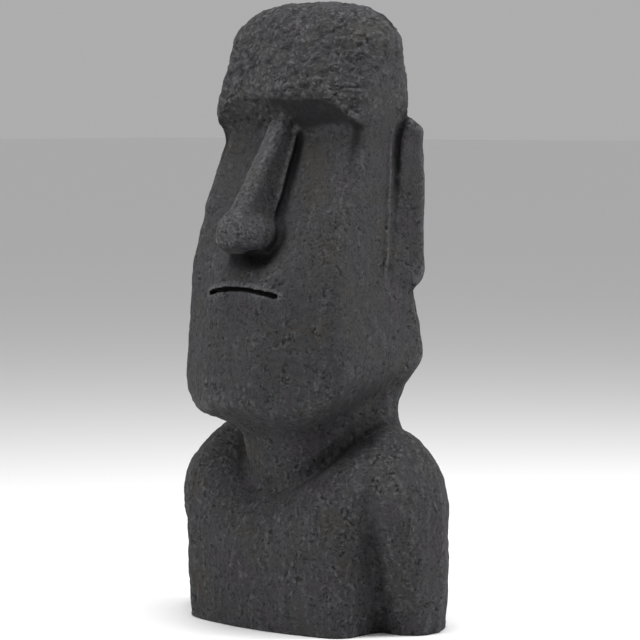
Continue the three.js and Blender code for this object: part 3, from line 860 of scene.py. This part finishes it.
@dataclass
class Trowelling:
    """Marks left in the skin by trowel and fingers, with the air pits of the casting.

    The forehead and crown are crumpled, the sockets, nose, cheeks and sides are smoother, and the
    lower face and the chest are pitted. Every mark sinks into the skin, and none stands proud.
    """

    seed: float = 4.0
    undulation: Grain = Grain(48.0, 1.0, shown=Rise(0.30, 0.70), deep_mm=1.6)
    wrinkle: Grain = Grain(24.0, 4.0, shown=Rise(0.60, 0.36), stretch=(0.9, 0.9, 1.3), deep_mm=2.6)
    flake: Grain = Grain(13.0, 2.0, 5.0, Rise(0.55, 0.60), stretch=(0.9, 0.9, 1.3), deep_mm=1.2)
    drag: Grain = Grain(16.0, 3.0, shown=Rise(0.35, 0.65), stretch=(1.0, 1.0, 0.4), deep_mm=1.5)
    pit: Grain = Grain(10.0, 2.0, 2.0, Rise(0.60, 0.65), deep_mm=1.3)
    patch: Grain = Grain(48.0, 1.0, 0.01, Rise(0.36, 0.60, 0.4, 1.0))
    crumpled_height: Rise = Rise(0.590, 0.640, 0.25, 1.0)
    turned_aside: Rise = Rise(0.45, 0.90, 1.0, 0.30)
    in_socket: Rise = Rise(0.20, 0.55, 1.0, 0.10)
    pitted_height: Rise = Rise(0.480, 0.560, 1.0, 0.30)
    dragged_height: Rise = Rise(0.26, 0.34, 1.0, 0.5)
    off_underside: Rise = Rise(-0.95, -0.80)
    above_floor: Rise = Rise(1 * MM, 9 * MM)

    def grains(self) -> dict[str, Grain]:
        """Returns the kinds of marks whose depth and size are inputs of the tree."""
        names = ("undulation", "wrinkle", "flake", "drag", "pit")
        return {name.capitalize(): getattr(self, name) for name in names}

    def inputs(self) -> dict[str, float]:
        """Returns the tree's named inputs, in metres where they are lengths."""
        depths = {f"{name} Depth": grain.deep_mm * MM for name, grain in self.grains().items()}
        sizes = {f"{name} Size": grain.size_mm * MM for name, grain in self.grains().items()}
        return depths | sizes | {"Seed": self.seed}

    def tree(self, material: bpy.types.Material) -> bpy.types.NodeTree:
        """Builds the Geometry Nodes tree that trowels a skin.

        Args:
            material: The finish that the tree sets at its end.

        Returns:
            The tree.
        """
        tree = bpy.data.node_groups.new("trowelled_skin", "GeometryNodeTree")
        tree.interface.new_socket("Geometry", in_out="INPUT", socket_type="NodeSocketGeometry")
        for name in self.inputs():
            tree.interface.new_socket(name, in_out="INPUT", socket_type="NodeSocketFloat")
        tree.interface.new_socket("Geometry", in_out="OUTPUT", socket_type="NodeSocketGeometry")
        given = add(tree, "NodeGroupInput").outputs
        place = add(tree, "GeometryNodeInputPosition").outputs[0]
        side, _, height = add(tree, "ShaderNodeSeparateXYZ", Vector=place).outputs
        depth = self.depth(Patterns(tree, place), given, side, height)
        moved = self.sunk(tree, given["Geometry"], height, depth)
        joined = add(tree, "GeometryNodeRealizeInstances", Geometry=moved)
        dressed = add(tree, "GeometryNodeSetMaterial", Geometry=joined.outputs[0], Material=material)
        add(tree, "NodeGroupOutput", Geometry=dressed.outputs[0])
        return tree

    def sunk(self, tree: bpy.types.NodeTree, geometry: Socket, height: Socket, depth: Socket) -> Socket:
        """Sinks the skin along its normal, and keeps the underside flat.

        Args:
            tree: The node tree.
            geometry: The skin.
            height: Height of each point.
            depth: How far each point sinks.

        Returns:
            The trowelled skin.
        """
        patterns = Patterns(tree, height)
        normal = add(tree, "GeometryNodeInputNormal").outputs[0]
        facing = add(tree, "ShaderNodeSeparateXYZ", Vector=normal).outputs
        beside = patterns.rise(facing[2], self.off_underside)
        above = patterns.rise(height, self.above_floor)
        level = patterns.product(depth, patterns.maths("MAXIMUM", beside, above), -1.0)
        parts = [patterns.product(facing[axis], level) for axis in (0, 1)]
        parts.append(patterns.product(facing[2], patterns.product(level, above)))
        offset = add(tree, "ShaderNodeCombineXYZ", X=parts[0], Y=parts[1], Z=parts[2])
        return add(tree, "GeometryNodeSetPosition", Geometry=geometry, Offset=offset.outputs[0]).outputs[0]

    def depth(
        self, patterns: Patterns, given: bpy.types.NodeOutputs, side: Socket, height: Socket
    ) -> Socket:
        """Adds up how far each point of the skin sinks.

        Args:
            patterns: Patterns on the skin's place.
            given: The tree's named inputs.
            side: How far each point lies to the statue's left.
            height: Height of each point.

        Returns:
            The depth in metres, 0 or more everywhere.
        """
        floating = {"data_type": "FLOAT"}
        # The mask of hollows and undersides, which also carries painted shade in the finish, here only
        # smooths the marks in the sockets.
        hollow = add(patterns.tree, "GeometryNodeInputNamedAttribute", floating, Name="hollow").outputs[0]
        worn = add(patterns.tree, "GeometryNodeInputNamedAttribute", floating, Name="worn").outputs[0]
        normal = add(patterns.tree, "GeometryNodeInputNormal").outputs[0]
        turned = add(patterns.tree, "ShaderNodeSeparateXYZ", Vector=normal).outputs[0]
        smoothed = patterns.product(hollow, patterns.rise(side, NEAR_SIDE))
        crumpled = patterns.product(
            patterns.rise(height, self.crumpled_height),
            patterns.rise(patterns.product(turned, turned), self.turned_aside),
            patterns.rise(smoothed, self.in_socket),
        )
        rough = patterns.rise(worn, RUBBED_SMOOTH)
        patchy = patterns.noise(self.patch)
        shares = {
            "Undulation": (),
            "Wrinkle": (crumpled,),
            "Flake": (crumpled, patchy),
            "Drag": (rough, patterns.rise(height, self.dragged_height)),
            "Pit": (patterns.rise(height, self.pitted_height), rough, patchy),
        }
        depths = []
        for name, grain in self.grains().items():
            seed = given["Seed"] if grain.seed is None else None
            mark = patterns.noise(grain, given[f"{name} Size"], seed)
            depths.append(patterns.product(mark, given[f"{name} Depth"], *shares[name]))
        return patterns.maths("ADD", *depths)


@dataclass(frozen=True)
class CharcoalCasting:
    """Fibre-clay cast with charcoal pigment, trowelled and rubbed by hand.

    To the eye it is matt and nearly black, with a cold grey bloom on what stands proud, brown and
    purple drifts in the pigment, and soot-dark grit and air pits. Creases, hollows and undersides get
    painted shade.
    """

    base: str = "2D2D2F"
    brown: str = "2F2D2B"
    purple: str = "2E2B30"
    soot_and_shade: str = "080809"
    # Near-black: the pigment's own dark grit, crumple and specks, and also the painted shade of creases,
    # hollows and undersides.
    bloom: str = "5A5A5C"
    roughness: float = 0.82
    # Specular level, lowered under the painted shade of hollows and undersides so that they read darker.
    gloss: Rise = Rise(0.0, 0.8, 0.35, 0.12)
    drift: Grain = Grain(55.0, 3.0, 1.0)
    patch: Grain = Grain(38.0, 2.0, 6.0, Rise(0.36, 0.62, 0.35, 1.0))
    crumple: Grain = Grain(14.0, 5.0, 7.0, stretch=(0.9, 0.9, 1.2), deep_mm=6.5)
    grit: Grain = Grain(4.0, 4.0, 3.0, stretch=(1.0, 1.0, 1.2), deep_mm=1.8)
    speck: Grain = Grain(5.0, 2.0, 5.0, Rise(0.59, 0.64), stretch=(1.5, 1.5, 0.9), deep_mm=1.2)
    fine_speck: Grain = Grain(2.8, 2.0, 8.0, Rise(0.62, 0.67), stretch=(1.4, 1.4, 0.9))
    streak: Grain = Grain(16.0, 2.0, 9.0, Rise(0.60, 0.65), stretch=(1.2, 1.2, 0.22))
    crumpled_height: Rise = Rise(0.590, 0.640, 0.30, 1.0)
    in_socket: Rise = Rise(0.20, 0.60, 1.0, 0.15)
    pitted_height: Rise = Rise(0.520, 0.620, 1.0, 0.35)
    turning_brown: Rise = Rise(0.50, 0.66)
    turning_purple: Rise = Rise(0.48, 0.36)
    bloom_on_relief: Rise = Rise(0.02, 0.30, 0.0, 0.6)
    bloom_on_crumple: Rise = Rise(0.02, 0.16, 0.0, 0.5)
    bloom_on_grit: Rise = Rise(0.50, 0.66, 0.0, 0.12)
    bloom_on_worn: float = 0.5
    bloom_on_streaks: float = 0.22
    rubbing: Rise = Rise(0.36, 0.60, 0.2, 0.8)
    # Painted shade: creases, where the skin sinks below its neighbours, are darkened towards near-black.
    painted_shade_in_creases: Rise = Rise(-0.02, -0.35, 0.0, 0.8)
    soot_in_grit: Rise = Rise(0.46, 0.33, 0.0, 0.8)
    soot_in_crumple: Rise = Rise(-0.02, -0.12, 0.0, 0.85)
    soot_in_specks: float = 0.9
    # Painted shade: hollows and undersides, as marked on each vertex, are darkened towards near-black.
    soot_in_hollows: float = 0.86

    def material(self) -> bpy.types.Material:
        """Builds the finish.

        Returns:
            The material.
        """
        material = bpy.data.materials.new("fibre_clay_charcoal_casting")
        material.use_nodes = True
        tree = material.node_tree
        tree.nodes.clear()
        place = add(tree, "ShaderNodeTexCoord").outputs["Object"]
        patterns = Patterns(tree, place)
        side, _, height = add(tree, "ShaderNodeSeparateXYZ", Vector=place).outputs
        # Painted shade of hollows and undersides, marked on each vertex.
        hollow = add(tree, "ShaderNodeAttribute", {"attribute_name": "hollow"}).outputs["Fac"]
        worn = add(tree, "ShaderNodeAttribute", {"attribute_name": "worn"}).outputs["Fac"]
        smoothed = patterns.product(hollow, patterns.rise(side, NEAR_SIDE))
        patchy = patterns.noise(self.patch)
        crumpled = patterns.product(
            patterns.rise(height, self.crumpled_height), patterns.rise(smoothed, self.in_socket), patchy
        )
        specks = patterns.maths("MAXIMUM", patterns.noise(self.speck), patterns.noise(self.fine_speck))
        crumple = patterns.maths("SUBTRACT", patterns.noise(self.crumple), NOISE_MIDDLE)
        marks = {
            "crumple": patterns.product(crumple, crumpled),
            "grit": patterns.noise(self.grit),
            "specks": patterns.product(specks, patterns.rise(height, self.pitted_height), patchy),
            "streaks": patterns.noise(self.streak),
            "hollow": hollow,
            "worn": worn,
            "rough": patterns.rise(worn, RUBBED_SMOOTH),
        }
        # Under the painted shade of hollows and undersides the specular level is lowered and the colour is
        # darkened.
        shader = add(
            tree, "ShaderNodeBsdfPrincipled", Base_Color=self.colour(patterns, marks), Metallic=0.0,
            Roughness=self.roughness, Specular_IOR_Level=patterns.rise(hollow, self.gloss),
            Normal=self.relief(patterns, marks),
        )
        add(tree, "ShaderNodeOutputMaterial", Surface=shader.outputs[0])
        return material

    def mixed(self, patterns: Patterns, share: Socket, first: object, second: object) -> Socket:
        """Returns a mix of two colours."""
        settings = {"data_type": "RGBA"}
        return add(patterns.tree, "ShaderNodeMix", settings, i0=share, i6=first, i7=second).outputs[2]

    def colour(self, patterns: Patterns, marks: dict[str, Socket]) -> Socket:
        """Draws the pigment, its bloom on what stands proud, its dark grit, crumple and specks, and painted
        shade in creases, hollows and undersides.

        Args:
            patterns: Patterns on the statue's place.
            marks: How crumpled, gritty, specked, streaked, worn and rough the casting is, and its painted
                shade in hollows.

        Returns:
            The colour.
        """
        settings = {"attribute_name": "relief"}
        relief = add(patterns.tree, "ShaderNodeAttribute", settings).outputs["Fac"]
        drift = patterns.noise(self.drift)
        browned = patterns.rise(drift, self.turning_brown)
        colour = self.mixed(patterns, browned, linear(self.base), linear(self.brown))
        colour = self.mixed(patterns, patterns.rise(drift, self.turning_purple), colour, linear(self.purple))
        proud = patterns.maths(
            "ADD",
            patterns.rise(relief, self.bloom_on_relief),
            patterns.product(marks["worn"], self.bloom_on_worn),
            patterns.product(marks["streaks"], self.bloom_on_streaks),
            patterns.rise(marks["crumple"], self.bloom_on_crumple),
            patterns.rise(marks["grit"], self.bloom_on_grit),
        )
        rubbed = patterns.product(proud, patterns.rise(marks["grit"], self.rubbing))
        colour = self.mixed(patterns, patterns.maths("MINIMUM", rubbed, 1.0), colour, linear(self.bloom))
        # Darkened towards near-black: painted shade in creases and in hollows and undersides, and the
        # pigment's own dark grit, crumple and specks.
        dark = patterns.maths(
            "MAXIMUM",
            patterns.rise(relief, self.painted_shade_in_creases),
            patterns.product(patterns.rise(marks["grit"], self.soot_in_grit), marks["rough"]),
            patterns.rise(marks["crumple"], self.soot_in_crumple),
            patterns.product(marks["specks"], self.soot_in_specks),
            patterns.product(marks["hollow"], self.soot_in_hollows),
        )
        return self.mixed(patterns, dark, colour, linear(self.soot_and_shade))

    def relief(self, patterns: Patterns, marks: dict[str, Socket]) -> Socket:
        """Bumps the normal by the marks that are too fine for the mesh.

        Args:
            patterns: Patterns on the statue's place.
            marks: How crumpled, gritty, specked, streaked, worn and rough the casting is, and its painted
                shade in hollows.

        Returns:
            The bumped normal.
        """
        height = patterns.maths(
            "ADD",
            patterns.product(marks["crumple"], marks["rough"], self.crumple.deep_mm * MM),
            patterns.product(marks["grit"], marks["rough"], self.grit.deep_mm * MM),
            patterns.product(marks["specks"], -self.speck.deep_mm * MM),
        )
        return add(patterns.tree, "ShaderNodeBump", Strength=1.0, Distance=1.0, Height=height).outputs[0]


@dataclass
class Statue:
    """The cast statue: its skin, its trowelling and its finish."""

    skin: Skin = field(default_factory=Skin)
    trowelling: Trowelling = field(default_factory=Trowelling)
    finish: CharcoalCasting = field(default_factory=CharcoalCasting)
    most_triangles: int = 190000
    # hollow_reach and hollow_span set the painted shade of hollows. facing_down, far_to_near and the
    # underside share, height and far share set the painted shade of undersides, which is weaker on the far
    # side.
    hollow_reach: Stations = ((0.012, 1.0), (0.030, 0.8), (0.060, 0.3))
    worn_reach: float = 0.010
    handled_share: float = 0.45
    underside_shade_share: float = 0.72
    far_shade_share: float = 0.55
    relief_gain: float = 2.6
    hollow_span: Span = (0.22, 0.75)
    facing_down: Span = (0.25, 0.62)
    underside_shade_height: Span = (0.02, 0.60)
    far_to_near: Span = (-0.03, 0.0)
    worn_span: Span = (0.15, 0.75)
    nose_skin: Span = (-0.006, -0.001)

    def fit(self, points: Array) -> tuple[Array, Array]:
        """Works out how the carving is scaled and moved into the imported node's box.

        Args:
            points: Vertices, in shares of the height or in metres.

        Returns:
            Scale and shift along each axis, so that a place in the box is the scale times the point,
            plus the shift.
        """
        low, high = (np.array(corner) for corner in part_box(NODE))
        own_low, own_high = points.min(0), points.max(0)
        scale = (high - low) / (own_high - own_low)
        return scale, low - own_low * scale

    def trowelled(self, piece: bpy.types.Object) -> None:
        """Trowels the skin and thins it to the most triangles that it may have.

        Args:
            piece: The skin's object. It is left with a plain mesh and no modifier.
        """
        modifier = piece.modifiers.new("trowelling", "NODES")
        tree = self.trowelling.tree(self.finish.material())
        modifier.node_group = tree
        sockets = {s.name: s.identifier for s in tree.interface.items_tree if s.in_out == "INPUT"}
        for name, value in self.trowelling.inputs().items():
            modifier[sockets[name]] = value
        thinning = piece.modifiers.new("thinning", "DECIMATE")
        thinning.ratio = min(1.0, self.most_triangles / (2 * len(piece.data.polygons)))
        bpy.context.view_layer.update()
        evaluated = piece.evaluated_get(bpy.context.evaluated_depsgraph_get())
        plain = bpy.data.meshes.new_from_object(evaluated)
        piece.modifiers.clear()
        piece.data = plain
        plain.name = "moai_statue_skin"
        plain.shade_smooth()

    def read(self, mesh: bpy.types.Mesh, name: str) -> Array:
        """Returns one vector of each vertex, by the property's name."""
        values = np.empty(len(mesh.vertices) * 3)
        mesh.vertices.foreach_get(name, values)
        return values.reshape(-1, 3)

    def weather(self, mesh: bpy.types.Mesh, scale: Array, shift: Array) -> None:
        """Marks on each vertex its painted shade, darker in hollows and on undersides, and how worn the
        casting is there.

        Args:
            mesh: The carved skin, before it is trowelled.
            scale: Metres for one share of the height, along each axis.
            shift: Where the carving's origin lies, in metres.
        """
        place, normal = self.read(mesh, "co"), self.read(mesh, "normal")
        share = (place - shift) / scale
        form = self.skin.carving.form
        # Painted shade of hollows: how enclosed each vertex is, read from the carving's distance a few
        # reaches out along its normal, as ambient occlusion.
        hollow = np.zeros(len(place))
        for reach, weight in self.hollow_reach:
            hollow += weight * np.clip(1 - form(*(share + reach * normal).T) / reach, 0, 1)
        hollow = ramp(hollow / sum(weight for _, weight in self.hollow_reach), *self.hollow_span)
        # Painted shade of undersides: faces turned down are darkened, more so higher up, and less on the far
        # side, which is more lit.
        underside_shade = ramp(-normal[:, 2], *self.facing_down) * ramp(place[:, 2], *self.underside_shade_height)
        underside_shade *= self.far_shade_share + (1 - self.far_shade_share) * ramp(place[:, 0], *self.far_to_near)
        hollow = 1 - (1 - hollow) * (1 - self.underside_shade_share * underside_shade)
        worn = ramp(1 + form(*(share - self.worn_reach * normal).T) / self.worn_reach, *self.worn_span)
        nose = self.skin.carving.head.nose.form(np.abs(share[:, 0]), share[:, 1], share[:, 2])
        worn = np.maximum(worn, self.handled_share * ramp(-nose, *self.nose_skin))
        self.mark(mesh, "hollow", hollow)
        self.mark(mesh, "worn", worn)

    def filled(self, mesh: bpy.types.Mesh) -> None:
        """Stretches the trowelled skin by a hair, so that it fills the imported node's box again."""
        place = self.read(mesh, "co")
        scale, shift = self.fit(place)
        mesh.vertices.foreach_set("co", (place * scale + shift).ravel())
        mesh.update()

    def raised(self, mesh: bpy.types.Mesh) -> Array:
        """Measures how far each vertex stands out from its neighbours.

        Args:
            mesh: The trowelled skin.

        Returns:
            Above 0 on what stands proud and below 0 in creases, as a share of the edges' length.
        """
        place, normal = self.read(mesh, "co"), self.read(mesh, "normal")
        ends = np.empty(len(mesh.edges) * 2, int)
        mesh.edges.foreach_get("vertices", ends)
        a, b = ends.reshape(-1, 2).T
        step = place[a] - place[b]
        length = np.linalg.norm(step, axis=1)
        total = np.zeros(len(place))
        weight = np.zeros(len(place))
        for end, sign in ((a, 1), (b, -1)):
            np.add.at(total, end, sign * (step * normal[end]).sum(1))
            np.add.at(weight, end, length)
        raised = total / np.maximum(weight, LEAST_LENGTH)
        near = np.zeros(len(place))
        number = np.zeros(len(place))
        for end, other in ((a, b), (b, a)):
            np.add.at(near, end, raised[other])
            np.add.at(number, end, 1)
        return self.relief_gain * (raised + near / np.maximum(number, 1)) / 2

    def mark(self, mesh: bpy.types.Mesh, name: str, values: Array) -> None:
        """Stores one number on each vertex of the mesh."""
        mesh.attributes.new(name, "FLOAT", "POINT").data.foreach_set("value", values.astype(np.float32))

    def build(self) -> bpy.types.Object:
        """Builds, trowels and dresses the statue.

        Returns:
            The finished piece.
        """
        points, quads = self.skin.build()
        scale, shift = self.fit(points)
        mesh = bpy.data.meshes.new("moai_skin")
        mesh.from_pydata((points * scale + shift).tolist(), [], quads.tolist())
        piece = placed("moai", mesh)
        self.weather(mesh, scale, shift)
        self.trowelled(piece)
        self.filled(piece.data)
        # The relief drives both the bloom on what stands proud and the painted shade in creases.
        self.mark(piece.data, "relief", self.raised(piece.data))
        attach(piece, BODY)
        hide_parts(NODE)
        faces = sum(len(face.vertices) - 2 for face in piece.data.polygons)
        log.info("%s: %d quads carved, %d triangles kept", piece.name, len(quads), faces)
        return piece


@dataclass(frozen=True)
class Lamp:
    """A soft square light, placed in metres from the statue as the camera sees it."""

    name: str
    side: float
    forward: float
    up: float
    size: float
    power: float


@dataclass
class Studio:
    """A pale floor, soft studio light and a camera at the photograph's angle."""

    azimuth: float = 42.0
    distance: float = 4.645
    camera_height: float = 0.815
    camera_right: float = 0.0264
    focal_px: float = 2885.0
    image_px: float = 640.0
    horizon_px: float = 203.0
    sensor_mm: float = 36.0
    depth_shift: float = 0.0287
    floor_half: float = 60.0
    floor_colour: str = "F7F7F7"
    floor_roughness: float = 0.95
    sky_strength: float = 0.42
    aim_height: float = 0.42
    lamps: tuple[Lamp, ...] = (
        Lamp("left", -1.9, 0.8, 1.6, 0.9, 35.0),
        Lamp("right", 2.1, 0.1, 1.7, 0.9, 46.0),
        Lamp("top", 0.0, 0.2, 2.7, 0.9, 40.0),
    )

    def heading(self) -> tuple[Vector, Vector]:
        """Returns the level directions to the camera's right and away from it."""
        a = math.radians(self.azimuth)
        return Vector((math.cos(a), math.sin(a), 0)), Vector((-math.sin(a), math.cos(a), 0))

    def camera(self, height: float) -> None:
        """Makes the camera, at distances worked out from the statue's height in metres."""
        right, away = self.heading()
        data = bpy.data.cameras.new("camera")
        data.sensor_width = self.sensor_mm
        data.lens = self.focal_px / self.image_px * self.sensor_mm
        camera = placed("camera", data)
        place = self.camera_right * right - self.distance * away
        place += Vector((0, self.depth_shift, self.camera_height))
        camera.location = place * height
        pitch = math.atan(self.horizon_px / self.focal_px)
        aim = away * math.cos(pitch) - Vector((0, 0, math.sin(pitch)))
        camera.rotation_euler = aim.to_track_quat("-Z", "Y").to_euler()
        bpy.context.scene.camera = camera

    def light(self, lamp: Lamp) -> None:
        """Makes one soft square light that faces the statue.

        Args:
            lamp: Where it stands, how large it is and how strong, in metres and watts.
        """
        right, away = self.heading()
        data = bpy.data.lights.new(lamp.name, "AREA")
        data.size = lamp.size
        data.energy = lamp.power
        light = placed(lamp.name, data)
        light.location = lamp.side * right - lamp.forward * away + Vector((0, 0, lamp.up))
        aim = Vector((0, 0, self.aim_height)) - light.location
        light.rotation_euler = aim.to_track_quat("-Z", "Y").to_euler()

    def floor(self) -> None:
        """Makes the pale floor."""
        half = self.floor_half
        mesh = bpy.data.meshes.new("floor")
        corners = [(-half, -half, 0), (half, -half, 0), (half, half, 0), (-half, half, 0)]
        mesh.from_pydata(corners, [], [(0, 1, 2, 3)])
        material = bpy.data.materials.new("white_studio_paint")
        material.use_nodes = True
        shader = material.node_tree.nodes["Principled BSDF"]
        shader.inputs["Base Color"].default_value = linear(self.floor_colour)
        shader.inputs["Roughness"].default_value = self.floor_roughness
        mesh.materials.append(material)
        floor = placed("floor", mesh)
        floor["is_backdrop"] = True

    def build(self, height: float) -> None:
        """Makes floor, lights and camera for a statue of that height in metres."""
        self.floor()
        world = bpy.data.worlds.new("studio")
        world.use_nodes = True
        world.node_tree.nodes["Background"].inputs["Color"].default_value = (1, 1, 1, 1)
        world.node_tree.nodes["Background"].inputs["Strength"].default_value = self.sky_strength
        bpy.context.scene.world = world
        for lamp in self.lamps:
            self.light(lamp)
        self.camera(height)
        bpy.context.scene.view_settings.view_transform = "Standard"


def main() -> None:
    """Builds the studio and the statue."""
    logging.basicConfig(level=logging.INFO, format="%(message)s")
    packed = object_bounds()
    Studio().build(packed[1].z - packed[0].z)
    Statue().build()
    bpy.context.view_layer.update()


if __name__ == "__main__":
    main()
